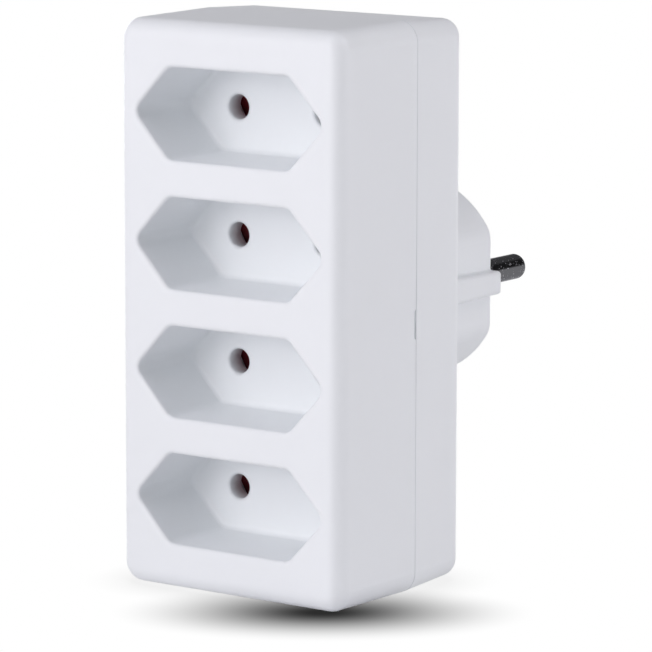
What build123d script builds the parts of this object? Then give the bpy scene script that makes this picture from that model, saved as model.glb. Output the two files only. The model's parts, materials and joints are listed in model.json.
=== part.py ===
from build123d import *
import os

os.makedirs("parts", exist_ok=True)

# Multi socket adapter. Millimetres, +Z up, sockets facing -Y, plug pins pointing +Y.
# The origin is at the bottom, in the middle of the width and of the overall depth.

# Case, measured at the parting line where its two shells meet
case_width = 49.4
case_height = 102.9
case_depth = 38.9
front_depth = 22.8
corner_radius = 4.0
front_edge_radius = 2.9
rear_edge_radius = 3.2
front_draft = 0.7
rear_draft = 2.7
wall = 2.0
front_wall = 2.2
rear_wall = 2.2
least_inner_radius = 0.5

# Joint between the shells: bevelled seam, tongue and groove, and on each side a pry notch in a slight gap
seam_bevel = 0.12
tongue_thickness = 0.9
tongue_height = 1.2
tongue_clearance = 0.15
seam_gap = 0.16
seam_gap_length = 46.0
notch_length = 5.4
notch_width = 0.55
notch_depth = 0.9
notch_drop = 2.4

# Sockets: hexagonal wells for flat two-pin plugs, one above the other
socket_count = 4
socket_pitch = 23.1
socket_side_margin = 3.8
socket_point_length = 7.8
socket_height = 16.6
socket_corner_radius = 2.2
recess_depth = 16.0
recess_draft = 0.5
mouth_radius = 0.5
recess_floor_radius = 1.0
well_wall = 1.5
floor_thickness = 3.7
pin_spacing = 19.0
hole_radius = 2.3
hole_edge_radius = 0.2

# Plug body with its side flats, guide ribs and the notches for the earth clips
plug_radius = 18.6
plug_length = 20.6
plug_flat_depth = 2.3
plug_corner_radius = 5.0
plug_edge_radius = 0.6
plug_wall = 2.2
plug_end_wall = 2.5
plug_blend_radius = 0.8
rib_root_height = 5.1
rib_end_height = 4.3
rib_edge_radius = 0.7
rib_blend_radius = 0.4
clip_notch_width = 7.0
clip_notch_depth = 3.6

# Plug pins: a thicker shank in the plug body, a collar in the case and a tail riveted to the contact rail
pin_radius = 2.4
pin_shank_radius = 2.6
pin_length = 19.0
pin_tip_radius = 1.2
pin_clearance = 0.05
pin_tube_radius = 5.0
collar_radius = 3.4
collar_height = 1.5
tail_radius = 1.6
rivet_radius = 2.6
rivet_height = 0.8

# Contact rails: brass strips with a pair of spring leaves behind each pin hole
rail_width = 6.0
rail_thickness = 0.8
rail_end = 1.5
rail_clearance = 0.25
leaf_thickness = 0.6
leaf_height = 6.0
leaf_gap = 0.6
leaf_bend_radius = 1.5
throat_opening = 3.5
throat_setback = 3.2
mouth_opening = 5.6
channel_rib_width = 1.2
channel_rib_height = 1.6
channel_rib_length = 13.0

# Shutters: red sliders with a ramp behind each pin hole, and their cages on the front shell
shutter_thickness = 4.2
shutter_cover = 0.7
shutter_land = 1.2
shutter_foot = 1.0
shutter_wing_width = 7.0
shutter_bridge_height = 4.0
slide_clearance = 0.25
stop_gap = 0.1
end_gap = 0.6
open_margin = 0.1
cage_wall = 1.2

# Shutter springs, with a peg at each end
spring_radius = 1.8
wire_radius = 0.16
spring_pitch = 1.4
spring_seat_gap = 0.05
peg_radius = 1.2
peg_height = 1.1

# Contact carrier: the plate behind the shutters
carrier_thickness = 1.6
carrier_clearance = 0.4
carrier_corner_radius = 1.5
guide_hole_radius = 2.7
guide_bevel = 0.6
post_radius = 1.5
barrier_thickness = 1.6
barrier_gap = 0.3

# Case screws, sunk into the back, and their bosses
boss_radius = 3.2
boss_clearance = 0.25
screw_tube_radius = 4.4
screw_seat = 2.2
screw_radius = 1.45
screw_length = 12.0
screw_point = 2.0
screw_clearance = 0.15
pilot_radius = 1.2
pilot_end_gap = 1.2
head_radius = 2.75
head_height = 2.0
head_edge_radius = 0.8
head_clearance = 0.35
cross_length = 3.2
cross_width = 0.8
cross_depth = 1.1

# Depths, from the front face to the tips of the plug pins
front_y = -(case_depth + plug_length + pin_length) / 2
floor_y = front_y + recess_depth
floor_back_y = floor_y + floor_thickness
shutter_front_y = floor_back_y + slide_clearance
shutter_back_y = shutter_front_y + shutter_thickness
carrier_front_y = shutter_back_y + slide_clearance
carrier_back_y = carrier_front_y + carrier_thickness
parting_y = front_y + front_depth
rear_y = front_y + case_depth
rear_inner_y = rear_y - rear_wall
rail_front_y = rear_inner_y - rail_thickness
rail_middle_y = rear_inner_y - rail_thickness / 2
plug_end_y = rear_y + plug_length
pin_tip_y = plug_end_y + pin_length
spring_y = (floor_back_y + carrier_front_y) / 2
screw_seat_y = carrier_back_y + screw_seat

# Heights and places across the front
middle_z = case_height / 2
pin_x = pin_spacing / 2
socket_tip_width = case_width - 2 * socket_side_margin
socket_flat_width = socket_tip_width - 2 * socket_point_length
rail_edge_x = pin_x + rail_width / 2
screw_inset = (case_width / 2 - rail_edge_x) / 2
screw_x = case_width / 2 - screw_inset
screw_rise = socket_pitch
shutter_reach = hole_radius + shutter_cover
shutter_travel = hole_radius + shutter_reach + open_margin
cage_bottom = -shutter_reach - stop_gap
cage_top = shutter_reach + shutter_travel + end_gap
cage_inner_width = pin_spacing + shutter_wing_width + 2 * slide_clearance
bridge_top = shutter_bridge_height - shutter_reach
rail_length = (socket_count - 1) * socket_pitch + leaf_height + 2 * rail_end
plug_flat_width = 2 * (plug_radius - plug_flat_depth)
clip_notch_floor = plug_radius - clip_notch_depth


def facing_front(y):
    """Upright plane at depth y, seen from the front: x to the right, y up."""
    return Plane(origin=(0, y, middle_z), x_dir=(1, 0, 0), z_dir=(0, -1, 0))


def facing_rear(y):
    """Upright plane at depth y, seen from the back, with y up."""
    return Plane(origin=(0, y, middle_z), x_dir=(-1, 0, 0), z_dir=(0, 1, 0))


def from_the_side(x, z):
    """Upright plane across the width at x, z: its x runs to the back, its y up."""
    return Plane(origin=(x, 0, z), x_dir=(0, 1, 0), z_dir=(1, 0, 0))


def socket_z(number):
    """Height of a socket's centre, counted from 1 at the top."""
    return middle_z + ((socket_count + 1) / 2 - number) * socket_pitch


def case_outline(inset):
    """The case's rounded rectangle at the parting line, moved in by inset all round."""
    radius = max(corner_radius - inset, least_inner_radius)
    RectangleRounded(case_width - 2 * inset, case_height - 2 * inset, radius)


def socket_outlines(sketch):
    """Every socket's hexagon, with its tips left and right and its corners rounded."""
    tip = socket_tip_width / 2
    flat = socket_flat_width / 2
    rise = socket_height / 2
    with GridLocations(0, socket_pitch, 1, socket_count):
        Polygon((tip, 0), (flat, rise), (-flat, rise), (-tip, 0), (-flat, -rise), (flat, -rise), align=None)
    fillet(sketch.vertices(), socket_corner_radius)


# Front shell
with BuildPart() as front_cover:
    with BuildSketch(facing_front(parting_y)):
        case_outline(0)
    extrude(amount=front_depth, taper=front_draft)
    fillet(front_cover.faces().sort_by(Axis.Y)[0].edges(), front_edge_radius)
    chamfer(front_cover.faces().sort_by(Axis.Y)[-1].edges(), seam_bevel)
    with BuildSketch(facing_front(parting_y)):
        case_outline(wall)
    extrude(amount=front_depth - front_wall, taper=front_draft, mode=Mode.SUBTRACT)

    # Tongue that fits into the rear shell
    with BuildSketch(facing_rear(parting_y)):
        case_outline(wall - tongue_thickness)
        with BuildSketch(mode=Mode.SUBTRACT):
            case_outline(wall)
    extrude(amount=tongue_height)

    # Wells, and the plug recesses inside them
    with BuildSketch(facing_front(floor_back_y)) as wells:
        socket_outlines(wells)
        offset(amount=well_wall)
    extrude(amount=recess_depth + floor_thickness - front_wall)
    with BuildSketch(facing_rear(front_y)) as recesses:
        socket_outlines(recesses)
    extrude(amount=recess_depth, taper=recess_draft, mode=Mode.SUBTRACT)
    floors = front_cover.faces().filter_by(Axis.Y).group_by(lambda face: abs(face.center().Y - floor_y))[0]
    fillet(floors.edges(), recess_floor_radius)
    mouths = front_cover.faces().sort_by(Axis.Y)[0].inner_wires()
    fillet(mouths.edges(), mouth_radius)
    with BuildSketch(facing_rear(floor_y)):
        with GridLocations(pin_spacing, socket_pitch, 2, socket_count):
            Circle(hole_radius)
    extrude(amount=floor_thickness, mode=Mode.SUBTRACT)
    hole_rims = front_cover.edges(Select.LAST).group_by(Axis.Y)[0]
    fillet(hole_rims, hole_edge_radius)

    # Shutter cages behind the floors, with a peg for each spring
    with BuildSketch(facing_rear(floor_back_y)):
        with GridLocations(0, socket_pitch, 1, socket_count):
            with Locations((0, (cage_top + cage_bottom) / 2)):
                Rectangle(cage_inner_width + 2 * cage_wall, cage_top - cage_bottom + 2 * cage_wall)
                Rectangle(cage_inner_width, cage_top - cage_bottom, mode=Mode.SUBTRACT)
    extrude(amount=carrier_front_y - floor_back_y)
    for number in range(1, socket_count + 1):
        with BuildSketch(Plane.XY.offset(socket_z(number) + cage_top)):
            with Locations((0, spring_y)):
                Circle(peg_radius)
        extrude(amount=-peg_height)

    # Screw bosses in the gaps between the wells
    with BuildSketch(facing_rear(front_y + front_wall)):
        with GridLocations(2 * screw_x, 2 * screw_rise, 2, 2):
            Circle(boss_radius)
    extrude(amount=carrier_back_y - front_y - front_wall)
    with BuildSketch(facing_front(carrier_back_y)):
        with GridLocations(2 * screw_x, 2 * screw_rise, 2, 2):
            Circle(pilot_radius)
    extrude(amount=screw_length - screw_seat + pilot_end_gap, mode=Mode.SUBTRACT)

    # Pry notches in the parting edge, each in the gap where the walls bow apart
    for side in (-1, 1):
        with BuildSketch(from_the_side(side * case_width / 2, middle_z - notch_drop)):
            with Locations((parting_y, 0)):
                SlotOverall(notch_length, 2 * notch_width, rotation=90)
                Ellipse(seam_gap, seam_gap_length / 2)
        extrude(amount=notch_depth, both=True, mode=Mode.SUBTRACT)

front_cover.part.label = "front_cover"
export_step(front_cover.part, "parts/front_cover.step")


# Rear shell, in one piece with the plug body
with BuildPart() as rear_cover:
    with BuildSketch(facing_rear(parting_y)):
        case_outline(0)
    extrude(amount=case_depth - front_depth, taper=rear_draft)
    fillet(rear_cover.faces().sort_by(Axis.Y)[-1].edges(), rear_edge_radius)
    chamfer(rear_cover.faces().sort_by(Axis.Y)[0].edges(), seam_bevel)

    # Plug body: a circle cut by two flats, with a notch above and below
    with BuildSketch(facing_rear(rear_inner_y)) as plug:
        Circle(plug_radius)
        Rectangle(plug_flat_width, 2 * plug_radius, mode=Mode.INTERSECT)
        fillet(plug.vertices(), plug_corner_radius)
        with GridLocations(0, 2 * plug_radius, 1, 2):
            Rectangle(clip_notch_width, 2 * clip_notch_depth, mode=Mode.SUBTRACT)
        notch_corners = plug.vertices().filter_by(lambda corner: abs(corner.X) < clip_notch_width)
        fillet(notch_corners, plug_blend_radius)
    extrude(amount=plug_end_y - rear_inner_y)

    # Guide ribs on the flats, which grow narrower towards the plug's end
    with BuildSketch(from_the_side(0, middle_z)):
        root = rib_root_height / 2
        end = rib_end_height / 2
        Polygon(
            (rear_inner_y, root),
            (plug_end_y, end),
            (plug_end_y, -end),
            (rear_inner_y, -root),
            align=None,
        )
    extrude(amount=plug_radius, both=True)
    rib_sides = rear_cover.faces().filter_by(Axis.X).group_by(lambda face: abs(face.center().X))[-1]
    fillet(rib_sides.edges().filter_by(Axis.Z, reverse=True), rib_edge_radius)
    plug_flats = rear_cover.faces().filter_by(Axis.X).group_by(lambda face: abs(face.center().X))[-2]
    rib_roots = plug_flats.edges().group_by(lambda edge: abs(edge.center().Z - middle_z))[0]
    fillet(rib_roots, rib_blend_radius)
    fillet(rear_cover.faces().sort_by(Axis.Y)[-1].edges(), plug_edge_radius)

    # Hollow of the case, with the groove for the front shell's tongue
    with BuildSketch(facing_rear(parting_y)):
        case_outline(wall)
    extrude(amount=rear_inner_y - parting_y, taper=rear_draft, mode=Mode.SUBTRACT)
    with BuildSketch(facing_rear(parting_y)):
        case_outline(wall - tongue_thickness - tongue_clearance)
    extrude(amount=tongue_height + tongue_clearance, mode=Mode.SUBTRACT)

    # Hollow of the plug, with a thick tube round each pin
    plug_bore_depth = plug_end_y - plug_end_wall - rear_inner_y
    with BuildSketch(facing_rear(rear_inner_y)):
        Circle(plug_radius - plug_wall)
        Rectangle(plug_flat_width - 2 * plug_wall, 2 * (clip_notch_floor - plug_wall), mode=Mode.INTERSECT)
    extrude(amount=plug_bore_depth, mode=Mode.SUBTRACT)
    with BuildSketch(facing_rear(rear_inner_y)):
        with GridLocations(pin_spacing, 0, 2, 1):
            Circle(pin_tube_radius)
    extrude(amount=plug_bore_depth)
    with BuildSketch(facing_rear(rear_inner_y)):
        with GridLocations(pin_spacing, 0, 2, 1):
            Circle(pin_shank_radius + pin_clearance)
    extrude(amount=plug_end_y - rear_inner_y, mode=Mode.SUBTRACT)
    with BuildSketch(facing_rear(rear_inner_y)):
        with GridLocations(pin_spacing, 0, 2, 1):
            Circle(collar_radius + pin_clearance)
    extrude(amount=collar_height, mode=Mode.SUBTRACT)

    # Ribs that keep the ends of the contact rails in line
    with BuildSketch(facing_front(rear_inner_y)):
        rib_step = rail_width + 2 * rail_clearance + channel_rib_width
        with GridLocations(pin_spacing, rail_length - channel_rib_length, 2, 2):
            with GridLocations(rib_step, 0, 2, 1):
                Rectangle(channel_rib_width, channel_rib_length)
    extrude(amount=channel_rib_height)

    # Screw tubes, bored out from the back for the screw heads
    with BuildSketch(facing_front(rear_inner_y)):
        with GridLocations(2 * screw_x, 2 * screw_rise, 2, 2):
            Circle(screw_tube_radius)
        with BuildSketch(mode=Mode.INTERSECT):
            case_outline(wall)
    extrude(amount=rear_inner_y - carrier_back_y)
    with BuildSketch(facing_front(rear_y)):
        with GridLocations(2 * screw_x, 2 * screw_rise, 2, 2):
            Circle(head_radius + head_clearance)
    extrude(amount=rear_y - screw_seat_y, mode=Mode.SUBTRACT)
    with BuildSketch(facing_front(screw_seat_y)):
        with GridLocations(2 * screw_x, 2 * screw_rise, 2, 2):
            Circle(screw_radius + screw_clearance)
    extrude(amount=screw_seat, mode=Mode.SUBTRACT)

rear_cover.part.label = "rear_cover"
export_step(rear_cover.part, "parts/rear_cover.step")


# Contact carrier: a plate with guide holes, posts on the rails and a barrier between them
with BuildPart() as contact_carrier:
    inset = wall + carrier_clearance
    with BuildSketch(facing_rear(carrier_front_y)):
        RectangleRounded(case_width - 2 * inset, case_height - 2 * inset, carrier_corner_radius)
        with GridLocations(2 * screw_x, 2 * screw_rise, 2, 2):
            Circle(boss_radius + boss_clearance, mode=Mode.SUBTRACT)
        with GridLocations(2 * (screw_x + screw_inset / 2), 2 * screw_rise, 2, 2):
            Rectangle(screw_inset, 2 * (boss_radius + boss_clearance), mode=Mode.SUBTRACT)
        with GridLocations(pin_spacing, socket_pitch, 2, socket_count):
            Circle(guide_hole_radius, mode=Mode.SUBTRACT)
    extrude(amount=carrier_thickness)
    guides = contact_carrier.edges().filter_by(GeomType.CIRCLE)
    guides = guides.filter_by(lambda edge: abs(edge.radius - guide_hole_radius) < guide_bevel)
    chamfer(guides.group_by(Axis.Y)[0], guide_bevel)
    with BuildSketch(facing_rear(carrier_back_y)):
        with GridLocations(pin_spacing, 2 * screw_rise, 2, 2):
            Circle(post_radius)
    extrude(amount=rail_front_y - carrier_back_y)
    with BuildSketch(facing_rear(carrier_back_y)):
        Rectangle(barrier_thickness, rail_length)
    extrude(amount=rear_inner_y - barrier_gap - carrier_back_y)

contact_carrier.part.label = "contact_carrier"
export_step(contact_carrier.part, "parts/contact_carrier.step")


# Contact rails, one for each pole
for side, name in ((-1, "contact_rail_left"), (1, "contact_rail_right")):
    leaf_root_x = rail_width / 2 - leaf_thickness / 2
    throat_x = throat_opening / 2 + leaf_thickness / 2
    mouth_x = mouth_opening / 2 + leaf_thickness / 2
    leaf_mouth_y = carrier_back_y + leaf_gap
    throat_y = leaf_mouth_y + throat_setback
    with BuildPart() as contact_rail:
        with BuildSketch(facing_front(rear_inner_y)):
            with Locations((side * pin_x, 0)):
                Rectangle(rail_width, rail_length)
                Circle(tail_radius + pin_clearance, mode=Mode.SUBTRACT)
        extrude(amount=rail_thickness)
        for number in range(1, socket_count + 1):
            with BuildSketch(Plane.XY.offset(socket_z(number))):
                for leaf in (-1, 1):
                    with BuildLine() as leaf_line:
                        FilletPolyline(
                            (side * pin_x + leaf * leaf_root_x, rail_middle_y),
                            (side * pin_x + leaf * throat_x, throat_y),
                            (side * pin_x + leaf * mouth_x, leaf_mouth_y),
                            radius=leaf_bend_radius,
                        )
                    trace(line_width=leaf_thickness)
            extrude(amount=leaf_height / 2, both=True)
    contact_rail.part.label = name
    export_step(contact_rail.part, "parts/" + name + ".step")


# Plug pins: pin, shank, collar, tail and rivet head, turned about the pin's axis
for side, name in ((-1, "plug_pin_left"), (1, "plug_pin_right")):
    collar_y = rear_inner_y + collar_height
    with BuildPart() as plug_pin:
        with BuildSketch(Plane(origin=(side * pin_x, 0, middle_z))) as pin_profile:
            with BuildLine():
                Polyline(
                    (0, pin_tip_y),
                    (pin_radius, pin_tip_y),
                    (pin_radius, plug_end_y),
                    (pin_shank_radius, plug_end_y),
                    (pin_shank_radius, collar_y),
                    (collar_radius, collar_y),
                    (collar_radius, rear_inner_y),
                    (tail_radius, rear_inner_y),
                    (tail_radius, rail_front_y),
                    (rivet_radius, rail_front_y),
                    (tail_radius, rail_front_y - rivet_height),
                    (0, rail_front_y - rivet_height),
                    close=True,
                )
            make_face()
            fillet(pin_profile.vertices().group_by(Axis.Y)[-1].sort_by(Axis.X)[-1], pin_tip_radius)
        revolve(axis=Axis((side * pin_x, 0, middle_z), (0, 1, 0)))
    plug_pin.part.label = name
    export_step(plug_pin.part, "parts/" + name + ".step")


# Shutters: two ramped wings behind the pin holes, joined by a bridge that carries the spring
for number in range(1, socket_count + 1):
    name = "shutter_" + str(number)
    with BuildPart() as shutter:
        for side in (-1, 1):
            with BuildSketch(from_the_side(side * pin_x, socket_z(number))):
                Polygon(
                    (shutter_front_y, shutter_reach - shutter_land),
                    (shutter_front_y, shutter_reach),
                    (shutter_back_y, shutter_reach),
                    (shutter_back_y, -shutter_reach),
                    (shutter_back_y - shutter_foot, -shutter_reach),
                    align=None,
                )
            extrude(amount=shutter_wing_width / 2, both=True)
        with BuildSketch(Plane.XY.offset(socket_z(number) - shutter_reach)):
            with Locations((0, (shutter_front_y + shutter_back_y) / 2)):
                Rectangle(pin_spacing - shutter_wing_width, shutter_thickness)
        extrude(amount=shutter_bridge_height)
        with BuildSketch(Plane.XY.offset(socket_z(number) + bridge_top)):
            with Locations((0, spring_y)):
                Circle(peg_radius)
        extrude(amount=peg_height)
    shutter.part.label = name
    export_step(shutter.part, "parts/" + name + ".step")


# Shutter springs: steel wire wound between the bridge and the top of the cage
for number in range(1, socket_count + 1):
    name = "shutter_spring_" + str(number)
    spring_bottom_z = socket_z(number) + bridge_top + spring_seat_gap + wire_radius
    spring_top_z = socket_z(number) + cage_top - spring_seat_gap - wire_radius
    with BuildPart() as shutter_spring:
        with BuildLine() as coil:
            coil_foot = (0, spring_y, spring_bottom_z)
            Helix(spring_pitch, spring_top_z - spring_bottom_z, spring_radius, center=coil_foot)
        with BuildSketch(Plane(origin=coil.line @ 0, z_dir=coil.line % 0)):
            Circle(wire_radius)
        sweep(path=coil.line, is_frenet=True)
    shutter_spring.part.label = name
    export_step(shutter_spring.part, "parts/" + name + ".step")


# Case screws: self-tapping, with a round head and a cross recess
with BuildPart() as case_screws:
    for side in (-1, 1):
        for row in (-1, 1):
            screw_z = middle_z + row * screw_rise
            screw_tip_y = screw_seat_y - screw_length
            with BuildSketch(Plane(origin=(side * screw_x, 0, screw_z))) as screw_profile:
                with BuildLine():
                    Polyline(
                        (0, screw_seat_y + head_height),
                        (head_radius, screw_seat_y + head_height),
                        (head_radius, screw_seat_y),
                        (screw_radius, screw_seat_y),
                        (screw_radius, screw_tip_y + screw_point),
                        (0, screw_tip_y),
                        close=True,
                    )
                make_face()
                fillet(screw_profile.vertices().group_by(Axis.Y)[-1].sort_by(Axis.X)[-1], head_edge_radius)
            revolve(axis=Axis((side * screw_x, 0, screw_z), (0, 1, 0)))
    with BuildSketch(facing_front(screw_seat_y + head_height)):
        with GridLocations(2 * screw_x, 2 * screw_rise, 2, 2):
            Rectangle(cross_length, cross_width)
            Rectangle(cross_width, cross_length)
    extrude(amount=cross_depth, mode=Mode.SUBTRACT)

case_screws.part.label = "case_screws"
export_step(case_screws.part, "parts/case_screws.step")
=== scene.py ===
import json
import math

import bpy
import numpy as np
from mathutils import Matrix, Vector


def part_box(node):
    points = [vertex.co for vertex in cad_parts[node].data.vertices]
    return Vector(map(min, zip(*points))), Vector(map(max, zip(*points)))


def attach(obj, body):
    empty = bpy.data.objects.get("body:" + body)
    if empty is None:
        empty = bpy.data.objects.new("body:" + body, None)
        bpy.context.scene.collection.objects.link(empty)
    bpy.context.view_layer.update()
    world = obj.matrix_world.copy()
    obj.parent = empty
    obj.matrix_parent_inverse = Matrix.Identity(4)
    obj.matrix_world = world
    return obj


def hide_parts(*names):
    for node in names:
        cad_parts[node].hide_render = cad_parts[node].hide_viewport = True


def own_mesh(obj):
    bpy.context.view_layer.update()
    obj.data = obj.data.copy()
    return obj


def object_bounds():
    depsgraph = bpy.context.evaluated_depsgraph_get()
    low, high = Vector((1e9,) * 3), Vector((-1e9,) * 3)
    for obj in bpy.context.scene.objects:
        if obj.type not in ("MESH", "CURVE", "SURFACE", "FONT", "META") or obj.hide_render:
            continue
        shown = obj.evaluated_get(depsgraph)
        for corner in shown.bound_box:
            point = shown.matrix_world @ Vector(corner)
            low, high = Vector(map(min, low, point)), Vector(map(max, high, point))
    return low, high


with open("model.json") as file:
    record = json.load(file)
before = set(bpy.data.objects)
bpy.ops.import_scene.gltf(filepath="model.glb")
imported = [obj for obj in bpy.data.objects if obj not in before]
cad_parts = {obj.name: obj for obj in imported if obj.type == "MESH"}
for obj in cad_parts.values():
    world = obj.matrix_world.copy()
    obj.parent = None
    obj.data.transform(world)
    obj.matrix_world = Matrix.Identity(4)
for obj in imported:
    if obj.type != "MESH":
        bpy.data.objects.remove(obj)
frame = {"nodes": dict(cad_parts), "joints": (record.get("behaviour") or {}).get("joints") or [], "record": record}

MM = 0.001
TURN = 2 * math.pi
cad_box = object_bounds()
scene = bpy.context.scene

# Camera, as fitted to the photograph: angles in degrees, lengths in metres, the sensor in millimetres
CAMERA_AZIMUTH = 35.75
CAMERA_ELEVATION = 9.42
CAMERA_ROLL = 0.105
CAMERA_DISTANCE = 0.763
CAMERA_TARGET = Vector((0.00844, -0.02125, 0.04783))
CAMERA_NEAR = 0.01
CAMERA_FAR = 20.0
SENSOR_WIDTH = 36.0
IMAGE_SIZE = 652
FOCAL_PIXELS = 4275.0

# Lamps, all at one distance in metres
LAMP_DISTANCE = 1.2
FRONT_LAMP_COLOUR = "#fffcff"
SIDE_LAMP_COLOUR = "#fefbff"
CROWN_LAMP_COLOUR = "#f7f5ff"

# Room: its own light grows from the horizon to the ceiling. Mirrors see a white wall that fades, from WALL_FADE
# to WALL_TOP, into a dark ceiling. The ceiling is brighter to the left, from RIGHT_SIDE to LEFT_SIDE. These
# heights and sides are the z and x of a direction of length 1.
HORIZON_FILL = 0.04
CEILING_FILL = 0.08
CEILING_HEIGHT = 0.8
CEILING_MIRRORED = 0.06
LEFT_MIRRORED = 0.25
RIGHT_SIDE = 0.26
LEFT_SIDE = 0.12
WALL_FADE = 0.02
WALL_TOP = 0.16

# Floor, in metres: a painted contact shadow close round the case, and a painted pool of shadow under the front
# corner, which no lamp casts. The pool is an ellipse, evenly dark in its core, that fades out to its radii.
# A level of 1 is white.
FLOOR_RADIUS = 4.0
CONTACT_SHADOW_REACH = 0.01
CONTACT_SHADOW_LEVEL = 0.88
CONTACT_CLOSED = 0.5
CONTACT_OPEN = 0.97
CONTACT_SAMPLES = 24
PAINTED_POOL_CENTRE = (0.0194, -0.0374, 0.0)
PAINTED_POOL_RADII = (0.0383, 0.0226, 1.0)
PAINTED_POOL_TURN = math.radians(36.2)
PAINTED_POOL_CORE = 0.03
PAINTED_POOL_LEVEL = 0.03


def linear(hex_colour):
    """An sRGB hex colour as linear RGBA, by the sRGB curve."""
    values = [int(hex_colour[i:i + 2], 16) / 255 for i in (1, 3, 5)]
    return tuple(v / 12.92 if v <= 0.04045 else ((v + 0.055) / 1.055) ** 2.4 for v in values) + (1.0,)


def add_node(tree, kind, inputs=None, **settings):
    """Adds a node, sets its properties, and sets or links its inputs; a link is a socket."""
    node = tree.nodes.new(kind)
    for key, value in settings.items():
        setattr(node, key, value)
    for key, value in (inputs or {}).items():
        if isinstance(value, bpy.types.NodeSocket):
            tree.links.new(value, node.inputs[key])
        else:
            node.inputs[key].default_value = value
    return node


def new_material(name):
    """An empty material: its node tree, its shader and the Object coordinates that patterns read."""
    material = bpy.data.materials.new(name)
    material.use_nodes = True
    tree = material.node_tree
    tree.nodes.clear()
    shader = add_node(tree, "ShaderNodeBsdfPrincipled")
    add_node(tree, "ShaderNodeOutputMaterial", {"Surface": shader.outputs["BSDF"]})
    place = add_node(tree, "ShaderNodeTexCoord").outputs["Object"]
    return material, tree, shader, place


# Materials

# Sockets of a Mix node that is set to colours, by number because its kinds share their names
MIX_FACTOR = 0
MIX_FIRST = 6
MIX_SECOND = 7
MIX_RESULT = 2

# Nearly all values of a noise texture lie between these two
NOISE_LOW = 0.3
NOISE_HIGH = 0.7


def moulded_plastic(name, light_hex, dark_hex, roughness, details=None):
    """ABS or polyamide from a fine spark-eroded mould: satin, evenly coloured, with a grain that only breaks up
    the gloss, drawn coarser than the real one so that it shows.

    Details is a function that takes the tree, the place and the colour, and returns a colour and a normal.
    """
    flow_mm = 26.0
    cloud_mm = 2.4
    grain_mm = 0.32
    grain_depth_mm = 0.02
    grain_strength = 0.35
    glossier = 0.04
    duller = 0.05
    plastic_ior = 1.53
    material, tree, shader, place = new_material(name)
    flow = add_node(tree, "ShaderNodeTexNoise", {
        "Vector": place, "Scale": 1 / (flow_mm * MM), "Detail": 2.0,
    })
    cloud = add_node(tree, "ShaderNodeTexNoise", {
        "Vector": place, "Scale": 1 / (cloud_mm * MM), "Detail": 3.0,
    })
    grain = add_node(tree, "ShaderNodeTexNoise", {
        "Vector": place, "Scale": 1 / (grain_mm * MM), "Detail": 2.0,
    })
    mix = add_node(tree, "ShaderNodeMix", {
        MIX_FACTOR: flow.outputs["Fac"], MIX_FIRST: linear(light_hex), MIX_SECOND: linear(dark_hex),
    }, data_type="RGBA")
    gloss = add_node(tree, "ShaderNodeMapRange", {
        "Value": cloud.outputs["Fac"], "From Min": NOISE_LOW, "From Max": NOISE_HIGH,
        "To Min": roughness - glossier, "To Max": roughness + duller,
    })
    bump = add_node(tree, "ShaderNodeBump", {
        "Height": grain.outputs["Fac"], "Strength": grain_strength, "Distance": grain_depth_mm * MM,
    })
    colour = mix.outputs[MIX_RESULT]
    if details:
        colour, rounded = details(tree, place, colour)
        tree.links.new(rounded, bump.inputs["Normal"])
    tree.links.new(colour, shader.inputs["Base Color"])
    tree.links.new(gloss.outputs["Result"], shader.inputs["Roughness"])
    tree.links.new(bump.outputs["Normal"], shader.inputs["Normal"])
    shader.inputs["IOR"].default_value = plastic_ior
    return material


def turned_nickel(name, plate_hex, pit_hex, edge_hex):
    """Brass turned on a lathe and nickel plated: a dark mirror with fine rings round it, drawn coarser than the
    real ones so that they show, and a few pale rough pits. The edge colour is the one at a grazing angle.
    """
    ring_mm = 0.22
    ring_depth_mm = 0.01
    ring_strength = 0.4
    round_the_pin = (0.05, 1.0, 0.05)
    pit_mm = 0.4
    pit_depth_mm = 0.05
    pit_strength = 0.8
    pit_rim = 0.62
    pit_bottom = 0.72
    plate_roughness = 0.1
    pit_roughness = 0.5
    material, tree, shader, place = new_material(name)
    along = add_node(tree, "ShaderNodeMapping", {"Vector": place, "Scale": round_the_pin})
    rings = add_node(tree, "ShaderNodeTexNoise", {
        "Vector": along.outputs["Vector"], "Scale": 1 / (ring_mm * MM), "Detail": 3.0,
    })
    pits = add_node(tree, "ShaderNodeTexNoise", {
        "Vector": place, "Scale": 1 / (pit_mm * MM), "Detail": 4.0,
    })
    depth = add_node(tree, "ShaderNodeMapRange", {
        "Value": pits.outputs["Fac"], "From Min": pit_rim, "From Max": pit_bottom,
    })
    mix = add_node(tree, "ShaderNodeMix", {
        MIX_FACTOR: depth.outputs["Result"], MIX_FIRST: linear(plate_hex), MIX_SECOND: linear(pit_hex),
    }, data_type="RGBA")
    gloss = add_node(tree, "ShaderNodeMapRange", {
        "Value": depth.outputs["Result"], "To Min": plate_roughness, "To Max": pit_roughness,
    })
    pitted = add_node(tree, "ShaderNodeBump", {
        "Height": depth.outputs["Result"], "Strength": pit_strength, "Distance": pit_depth_mm * MM,
    }, invert=True)
    bump = add_node(tree, "ShaderNodeBump", {
        "Height": rings.outputs["Fac"], "Strength": ring_strength, "Distance": ring_depth_mm * MM,
        "Normal": pitted.outputs["Normal"],
    })
    shader.inputs["Metallic"].default_value = 1.0
    shader.inputs["Specular Tint"].default_value = linear(edge_hex)
    tree.links.new(mix.outputs[MIX_RESULT], shader.inputs["Base Color"])
    tree.links.new(gloss.outputs["Result"], shader.inputs["Roughness"])
    tree.links.new(bump.outputs["Normal"], shader.inputs["Normal"])
    return material


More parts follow.
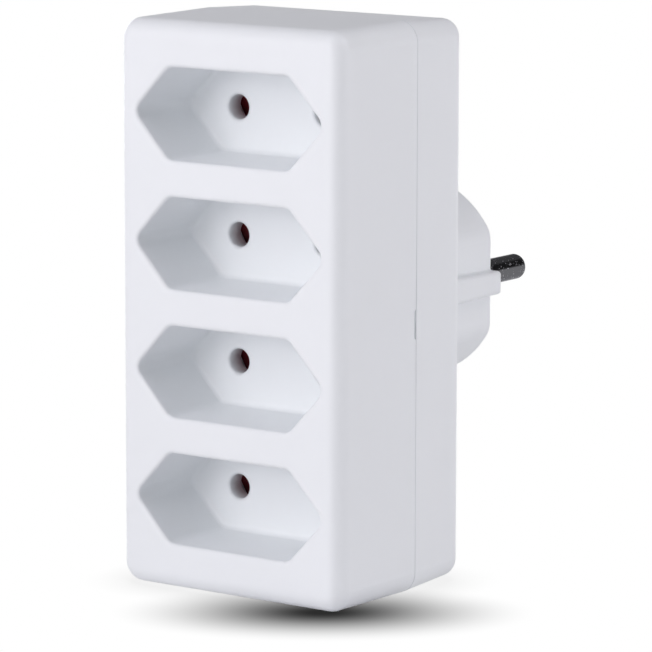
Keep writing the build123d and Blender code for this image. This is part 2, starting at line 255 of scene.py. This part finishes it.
def drawn_metal(name, light_hex, dark_hex, roughness, stretch):
    """Rolled or drawn metal: a satin sheen streaked along the way it was drawn, with faint tarnish. The streaks
    are drawn coarser than the real ones, so that they show.
    """
    streak_mm = 0.18
    streak_depth_mm = 0.01
    streak_strength = 0.4
    tarnish_mm = 3.0
    glossier = 0.06
    duller = 0.1
    material, tree, shader, place = new_material(name)
    along = add_node(tree, "ShaderNodeMapping", {"Vector": place, "Scale": stretch})
    streak = add_node(tree, "ShaderNodeTexNoise", {
        "Vector": along.outputs["Vector"], "Scale": 1 / (streak_mm * MM), "Detail": 3.0,
    })
    tarnish = add_node(tree, "ShaderNodeTexNoise", {
        "Vector": place, "Scale": 1 / (tarnish_mm * MM), "Detail": 4.0,
    })
    mix = add_node(tree, "ShaderNodeMix", {
        MIX_FACTOR: tarnish.outputs["Fac"], MIX_FIRST: linear(light_hex), MIX_SECOND: linear(dark_hex),
    }, data_type="RGBA")
    gloss = add_node(tree, "ShaderNodeMapRange", {
        "Value": streak.outputs["Fac"], "From Min": NOISE_LOW, "From Max": NOISE_HIGH,
        "To Min": roughness - glossier, "To Max": roughness + duller,
    })
    bump = add_node(tree, "ShaderNodeBump", {
        "Height": streak.outputs["Fac"], "Strength": streak_strength, "Distance": streak_depth_mm * MM,
    })
    shader.inputs["Metallic"].default_value = 1.0
    tree.links.new(mix.outputs[MIX_RESULT], shader.inputs["Base Color"])
    tree.links.new(gloss.outputs["Result"], shader.inputs["Roughness"])
    tree.links.new(bump.outputs["Normal"], shader.inputs["Normal"])
    return material


def case_details(tree, place, colour):
    """What the white case has beyond its plastic: soft rims round the socket mouths and the pin holes, and painted
    shade on the hole walls, which go greyer and redder towards the shutter.

    The normal turns over the larger of two radii: one fades out behind the front face, the other with the
    distance to a hole's axis. That distance is worked out once for all eight holes, with x mirrored to one side
    and z wrapped to one socket. The painted shade grows with depth, and stops just behind the socket's floor.
    """
    mouth_mm = 1.1
    rim_mm = 1.8
    rim_reach_mm = 1.4
    rim_depth_mm = 3.0
    rim_samples = 8
    wall_margin_mm = 0.05
    # Where the painted shade in the holes starts, is full and stops, its largest share, and its colour
    painted_shade_start_mm = 1.0
    painted_shade_full_mm = 3.4
    painted_shade_stop_mm = 3.8
    painted_shade_share = 0.5
    painted_shade_hex = "#a47f88"
    mounts = frame["record"]["mounts"]
    sockets = sorted(mount["pos_m"][2] for mount in mounts if mount["name"].startswith("socket"))
    holes = next(mount for mount in mounts if mount["name"] == "socket_1")
    half_spacing = holes["dims"]["spacing_x_mm"] * MM / 2
    hole_radius = holes["dims"]["hole_r_mm"] * MM
    half_pitch = (sockets[1] - sockets[0]) / 2
    front_y = cad_box[0][1]
    floor_y = holes["pos_m"][1]
    x, y, z = add_node(tree, "ShaderNodeSeparateXYZ", {"Vector": place}).outputs

    mouth = add_node(tree, "ShaderNodeMapRange", {
        "Value": y, "From Min": front_y + 2 * mouth_mm * MM, "From Max": front_y + mouth_mm * MM,
        "To Min": 0.0, "To Max": mouth_mm * MM,
    })

    aside = add_node(tree, "ShaderNodeMath", {0: x}, operation="ABSOLUTE")
    across = add_node(tree, "ShaderNodeMath", {0: aside.outputs[0], 1: half_spacing}, operation="SUBTRACT")
    level = add_node(tree, "ShaderNodeMath", {
        0: z, 1: sockets[0] + half_pitch, 2: sockets[0] - half_pitch,
    }, operation="WRAP")
    above = add_node(tree, "ShaderNodeMath", {0: level.outputs[0], 1: sockets[0]}, operation="SUBTRACT")
    offset = add_node(tree, "ShaderNodeCombineXYZ", {"X": across.outputs[0], "Y": above.outputs[0]})
    from_axis = add_node(tree, "ShaderNodeVectorMath", {0: offset.outputs["Vector"]}, operation="LENGTH")
    near = add_node(tree, "ShaderNodeMapRange", {
        "Value": from_axis.outputs["Value"],
        "From Min": hole_radius + rim_reach_mm * MM, "From Max": hole_radius,
        "To Min": 0.0, "To Max": rim_mm * MM,
    })
    in_front = add_node(tree, "ShaderNodeMath", {0: y, 1: floor_y + rim_depth_mm * MM}, operation="LESS_THAN")
    rim = add_node(tree, "ShaderNodeMath", {
        0: near.outputs["Result"], 1: in_front.outputs[0],
    }, operation="MULTIPLY")

    radius = add_node(tree, "ShaderNodeMath", {
        0: rim.outputs[0], 1: mouth.outputs["Result"],
    }, operation="MAXIMUM")
    rounded = add_node(tree, "ShaderNodeBevel", {"Radius": radius.outputs[0]}, samples=rim_samples)

    # Painted shade in the pin holes: the walls are coloured greyer and redder with depth towards the shutter, in
    # place of the shade that falls there
    inside = add_node(tree, "ShaderNodeMath", {
        0: from_axis.outputs["Value"], 1: hole_radius + wall_margin_mm * MM,
    }, operation="LESS_THAN")
    in_floor = add_node(tree, "ShaderNodeMath", {0: y, 1: floor_y + painted_shade_stop_mm * MM}, operation="LESS_THAN")
    in_hole = add_node(tree, "ShaderNodeMath", {
        0: inside.outputs[0], 1: in_floor.outputs[0],
    }, operation="MULTIPLY")
    depth = add_node(tree, "ShaderNodeMapRange", {
        "Value": y, "From Min": floor_y + painted_shade_start_mm * MM, "From Max": floor_y + painted_shade_full_mm * MM,
        "To Min": 0.0, "To Max": painted_shade_share,
    })
    painted_shade_amount = add_node(tree, "ShaderNodeMath", {
        0: in_hole.outputs[0], 1: depth.outputs["Result"],
    }, operation="MULTIPLY")
    mix = add_node(tree, "ShaderNodeMix", {
        MIX_FACTOR: painted_shade_amount.outputs[0], MIX_FIRST: colour, MIX_SECOND: linear(painted_shade_hex),
    }, data_type="RGBA")
    return mix.outputs[MIX_RESULT], rounded.outputs["Normal"]


white_abs = moulded_plastic("white_abs_moulded", "#f7fafc", "#f4f7f9", 0.42, case_details)
red_abs = moulded_plastic("red_abs_moulded", "#80252b", "#701c22", 0.4)
grey_polyamide = moulded_plastic("grey_polyamide_moulded", "#b9babd", "#adaeb2", 0.5)
nickel = turned_nickel("nickel_plated_brass_turned", "#666669", "#b4b4b8", "#cfcfd2")
brass = drawn_metal("brass_strip_rolled", "#d9b365", "#b98f45", 0.3, (1.0, 1.0, 0.04))
zinc = drawn_metal("zinc_plated_steel_pressed", "#c9cbd0", "#a5a8ae", 0.32, (1.0, 0.2, 1.0))
spring_steel = drawn_metal("spring_steel_drawn", "#b4b5b8", "#8e8f93", 0.28, (1.0, 1.0, 0.3))

FINISHES = {
    "housing": white_abs,
    "shutters": red_abs,
    "carrier": grey_polyamide,
    "pins": nickel,
    "contacts": brass,
    "screws": zinc,
    "springs": spring_steel,
}
for subpart in frame["record"]["subparts"]:
    solid = frame["nodes"][subpart["node"]]
    solid.data.materials.clear()
    solid.data.materials.append(FINISHES[subpart["material_slot"]])


# Shutter springs

def coil_tube(x, y, low_z, high_z, coil_radius, wire_radius):
    """Round wire on a helix: the angle grows along the wire, and the pitch shrinks to one wire at each closed
    end.

    The section's two directions are the outward radius and the axis, which a fine pitch keeps near enough
    square to the wire; the last ring at each end is drawn in to a point.
    """
    turns = 7.0
    steps = 420
    sides = 10
    taper_steps = 2
    # Just over one wire, so that the closed turns don't cut into each other
    closed_pitch = 2.15 * wire_radius
    t = np.linspace(0, 1, steps + 1)
    end_share = 1.0 / turns
    full_rise = high_z - low_z - 2 * wire_radius
    rise = np.interp(
        t, [0, end_share, 1 - end_share, 1], [0, closed_pitch, full_rise - closed_pitch, full_rise]
    )
    a = TURN * turns * t
    b = np.linspace(0, TURN, sides, endpoint=False)
    thin = wire_radius * np.sqrt(np.clip(np.minimum(t, 1 - t) * steps / taper_steps, 0, 1))
    radius = coil_radius + thin[:, None] * np.cos(b)
    ring_x = x + radius * np.cos(a)[:, None]
    ring_y = y + radius * np.sin(a)[:, None]
    ring_z = low_z + wire_radius + rise[:, None] + thin[:, None] * np.sin(b)
    points = np.stack([ring_x, ring_y, ring_z], -1).reshape(-1, 3)
    i = np.arange(steps)[:, None] * sides
    j = np.arange(sides)[None, :]
    k = (j + 1) % sides
    quads = np.stack([i + j, i + sides + j, i + sides + k, i + k], -1).reshape(-1, 4)
    mesh = bpy.data.meshes.new("coil_tube")
    mesh.from_pydata(points.tolist(), [], quads.tolist())
    mesh.shade_smooth()
    return mesh


SPRING_WIRE_RADIUS = 0.16 * MM
for joint in frame["joints"]:
    number = joint["name"].split("_")[1]
    low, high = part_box("shutter_spring_" + number)
    centre_x = (low[0] + high[0]) / 2
    centre_y = (low[1] + high[1]) / 2
    coil_radius = (high[0] - low[0]) / 2 - SPRING_WIRE_RADIUS
    coil = coil_tube(centre_x, centre_y, low[2], high[2], coil_radius, SPRING_WIRE_RADIUS)
    spring = bpy.data.objects.new("coil_spring_" + number, coil)
    scene.collection.objects.link(spring)
    coil.materials.append(spring_steel)
    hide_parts("shutter_spring_" + number)
    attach(spring, "case")
    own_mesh(spring)


# Floor and light

def white_to_the_eye(tree):
    """1 for rays from the camera, from a mirror or through glass, 0 for the rays that light the object."""
    ray = add_node(tree, "ShaderNodeLightPath")
    seen = add_node(tree, "ShaderNodeMath", {
        0: ray.outputs["Is Camera Ray"], 1: ray.outputs["Is Glossy Ray"],
    }, operation="MAXIMUM")
    clear = add_node(tree, "ShaderNodeMath", {
        0: seen.outputs[0], 1: ray.outputs["Is Transmission Ray"],
    }, operation="MAXIMUM")
    return clear.outputs[0]


def floor_disc(radius):
    """A flat disc: radius grows with the square of one parameter, the other is the angle."""
    rings = 24
    spokes = 96
    r = radius * np.linspace(0, 1, rings + 1)[1:] ** 2
    a = np.linspace(0, TURN, spokes, endpoint=False)
    x = np.outer(r, np.cos(a)).ravel()
    y = np.outer(r, np.sin(a)).ravel()
    points = np.column_stack([x, y, np.zeros_like(x)])
    points = np.vstack([[0, 0, 0], points])
    i = np.arange(rings - 1)[:, None] * spokes + 1
    j = np.arange(spokes)[None, :]
    k = (j + 1) % spokes
    quads = np.stack([i + j, i + spokes + j, i + spokes + k, i + k], -1).reshape(-1, 4)
    fan = np.stack([np.zeros(spokes, int), 1 + j[0], 1 + k[0]], -1)
    mesh = bpy.data.meshes.new("floor")
    mesh.from_pydata(points.tolist(), [], fan.tolist() + quads.tolist())
    return mesh


def matt_white_paper():
    """Matt paper: white to the eye, with painted shadow, darker close to the case and in the painted pool, and a
    plain pale sheet to the rays that light the object.
    """
    material = bpy.data.materials.new("matt_white_paper")
    material.use_nodes = True
    tree = material.node_tree
    tree.nodes.clear()
    paper = add_node(tree, "ShaderNodeBsdfDiffuse", {"Color": linear("#e7e7e9")})
    # Painted contact shadow: the paper seen by the eye is darkened where the case hides the space round it, not by
    # any lamp
    openness = add_node(tree, "ShaderNodeAmbientOcclusion", {
        "Distance": CONTACT_SHADOW_REACH,
    }, samples=CONTACT_SAMPLES)
    contact = add_node(tree, "ShaderNodeMapRange", {
        "Value": openness.outputs["AO"], "From Min": CONTACT_CLOSED, "From Max": CONTACT_OPEN,
        "To Min": CONTACT_SHADOW_LEVEL, "To Max": 1.0,
    })
    # Painted pool of shadow: a fixed ellipse under the front corner, dark in its core, that no lamp casts
    from_pool = add_node(tree, "ShaderNodeMapping", {
        "Vector": add_node(tree, "ShaderNodeTexCoord").outputs["Object"],
        "Location": PAINTED_POOL_CENTRE, "Rotation": (0.0, 0.0, PAINTED_POOL_TURN), "Scale": PAINTED_POOL_RADII,
    }, vector_type="TEXTURE")
    pool_share = add_node(tree, "ShaderNodeVectorMath", {0: from_pool.outputs["Vector"]}, operation="LENGTH")
    pool = add_node(tree, "ShaderNodeMapRange", {
        "Value": pool_share.outputs["Value"], "From Min": PAINTED_POOL_CORE, "To Min": PAINTED_POOL_LEVEL, "To Max": 1.0,
    }, interpolation_type="SMOOTHSTEP")
    # The white that the eye sees, times both painted shadows
    shade = add_node(tree, "ShaderNodeMath", {
        0: contact.outputs["Result"], 1: pool.outputs["Result"],
    }, operation="MULTIPLY")
    white = add_node(tree, "ShaderNodeEmission", {"Strength": shade.outputs[0]})
    mix = add_node(tree, "ShaderNodeMixShader", {
        0: white_to_the_eye(tree), 1: paper.outputs[0], 2: white.outputs[0],
    })
    add_node(tree, "ShaderNodeOutputMaterial", {"Surface": mix.outputs[0]})
    return material


floor = bpy.data.objects.new("floor", floor_disc(FLOOR_RADIUS))
scene.collection.objects.link(floor)
floor.data.materials.append(matt_white_paper())
floor.data.transform(Matrix.Translation((0, 0, cad_box[0][2])))


def studio_room():
    """The world: white to the camera, a wall and a ceiling to mirrors, and a faint cool fill to the object."""
    world = bpy.data.worlds.new("studio")
    world.use_nodes = True
    tree = world.node_tree
    tree.nodes.clear()
    sky = add_node(tree, "ShaderNodeTexCoord").outputs["Generated"]
    heading = add_node(tree, "ShaderNodeSeparateXYZ", {"Vector": sky})
    fill_level = add_node(tree, "ShaderNodeMapRange", {
        "Value": heading.outputs["Z"], "From Min": 0.0, "From Max": CEILING_HEIGHT,
        "To Min": HORIZON_FILL, "To Max": CEILING_FILL,
    })
    upper_level = add_node(tree, "ShaderNodeMapRange", {
        "Value": heading.outputs["X"], "From Min": RIGHT_SIDE, "From Max": LEFT_SIDE,
        "To Min": CEILING_MIRRORED, "To Max": LEFT_MIRRORED,
    })
    mirror_level = add_node(tree, "ShaderNodeMapRange", {
        "Value": heading.outputs["Z"], "From Min": WALL_FADE, "From Max": WALL_TOP,
        "To Min": 1.0, "To Max": upper_level.outputs["Result"],
    })
    seen_directly = add_node(tree, "ShaderNodeLightPath").outputs["Is Camera Ray"]
    wall_level = add_node(tree, "ShaderNodeMath", {
        0: mirror_level.outputs["Result"], 1: seen_directly,
    }, operation="MAXIMUM")
    fill = add_node(tree, "ShaderNodeBackground", {
        "Color": linear("#f3f8ff"), "Strength": fill_level.outputs["Result"],
    })
    backdrop = add_node(tree, "ShaderNodeBackground", {
        "Color": linear("#ffffff"), "Strength": wall_level.outputs[0],
    })
    mix = add_node(tree, "ShaderNodeMixShader", {
        0: white_to_the_eye(tree), 1: fill.outputs[0], 2: backdrop.outputs[0],
    })
    add_node(tree, "ShaderNodeOutputWorld", {"Surface": mix.outputs[0]})
    return world


scene.world = studio_room()


def direction(azimuth, elevation):
    """Unit vector from the object towards a point at that azimuth and elevation, in degrees."""
    a = math.radians(azimuth)
    e = math.radians(elevation)
    return Vector((math.sin(a) * math.cos(e), -math.cos(a) * math.cos(e), math.sin(e)))


def softbox(name, azimuth, elevation, width, height, watts, colour):
    """A rectangular area lamp, sized in metres, that faces the object from LAMP_DISTANCE away."""
    lamp = bpy.data.lights.new(name, "AREA")
    lamp.shape = "RECTANGLE"
    lamp.size = width
    lamp.size_y = height
    lamp.energy = watts
    lamp.color = linear(colour)[:3]
    holder = bpy.data.objects.new(name, lamp)
    scene.collection.objects.link(holder)
    centre = Vector((0, 0, (cad_box[0][2] + cad_box[1][2]) / 2))
    holder.location = centre + direction(azimuth, elevation) * LAMP_DISTANCE
    holder.rotation_euler = direction(azimuth, elevation).to_track_quat("Z", "Y").to_euler()


# Azimuth and elevation in degrees, width and height in metres, watts
softbox("front_softbox", -6.0, 5.0, 0.8, 0.6, 5.4, FRONT_LAMP_COLOUR)
softbox("left_front_softbox", -42.0, 8.0, 0.6, 0.5, 0.8, FRONT_LAMP_COLOUR)
softbox("right_front_softbox", 38.0, 12.0, 0.6, 0.5, 0.3, FRONT_LAMP_COLOUR)
softbox("high_front_softbox", -10.0, 30.0, 0.8, 0.55, 3.2, FRONT_LAMP_COLOUR)
softbox("crown_softbox", -25.0, 60.0, 0.7, 0.55, 2.9, CROWN_LAMP_COLOUR)
softbox("side_softbox", 116.0, 5.0, 0.6, 0.6, 5.5, SIDE_LAMP_COLOUR)
softbox("high_side_softbox", 130.0, 43.0, 0.7, 0.6, 3.8, SIDE_LAMP_COLOUR)
softbox("left_softbox", -118.0, 5.0, 0.6, 0.6, 5.0, SIDE_LAMP_COLOUR)

camera_data = bpy.data.cameras.new("camera")
camera_data.sensor_width = SENSOR_WIDTH
camera_data.lens = FOCAL_PIXELS / IMAGE_SIZE * SENSOR_WIDTH
camera_data.clip_start = CAMERA_NEAR
camera_data.clip_end = CAMERA_FAR
camera = bpy.data.objects.new("camera", camera_data)
scene.collection.objects.link(camera)
camera.location = CAMERA_TARGET + direction(CAMERA_AZIMUTH, CAMERA_ELEVATION) * CAMERA_DISTANCE
aim = direction(CAMERA_AZIMUTH, CAMERA_ELEVATION).to_track_quat("Z", "Y").to_matrix()
camera.rotation_euler = (aim @ Matrix.Rotation(math.radians(CAMERA_ROLL), 3, "Z")).to_euler()
scene.camera = camera
scene.view_settings.view_transform = "Standard"
